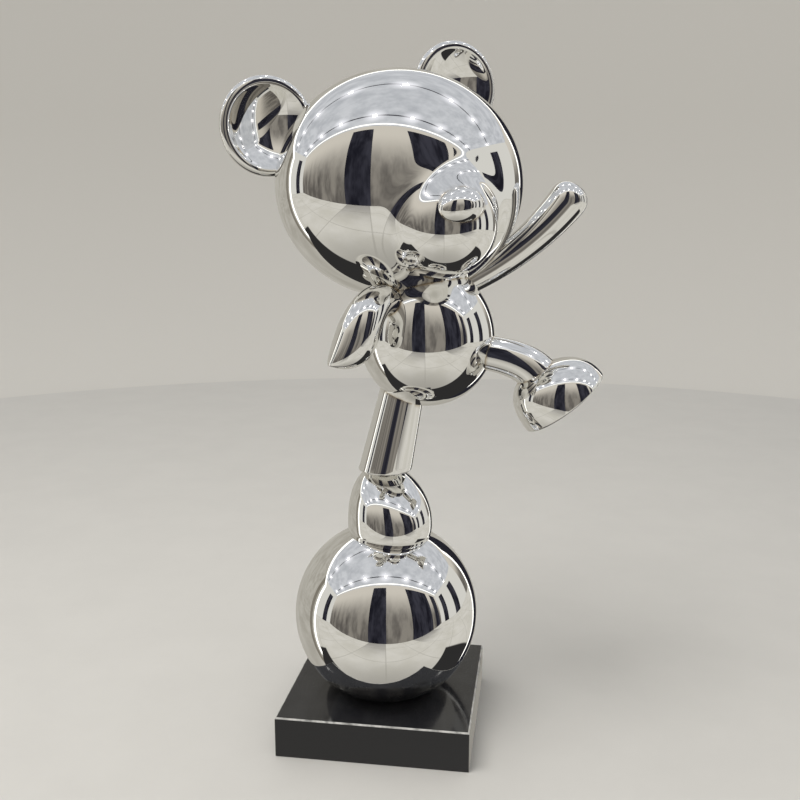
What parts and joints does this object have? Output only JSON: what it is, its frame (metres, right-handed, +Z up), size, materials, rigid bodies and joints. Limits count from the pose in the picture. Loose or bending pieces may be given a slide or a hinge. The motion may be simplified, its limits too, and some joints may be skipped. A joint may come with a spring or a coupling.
{
  "type": "teddy bear sculpture",
  "caption": "Mirror-finish cast teddy bear dancing on one leg on a ball, one arm raised and one leg kicked forward, on a square black plinth.",
  "frame": {"origin": "centre of the plinth's underside", "axes": "+Z up through the ball's centre, the plinth's sides along X and Y; the bear faces between -Y and +X"},
  "size_m": [0.3765, 0.2413, 0.7298],
  "materials": {
    "mirror_chrome": "mirror-bright electroplate over a smooth cast body",
    "black_lacquer": "polished black lacquer, thin bright chamfered edges"
  },
  "bodies": {
    "root": {"bear": "mirror_chrome", "ball": "mirror_chrome", "plinth": "black_lacquer"}
  },
  "joints": []
}
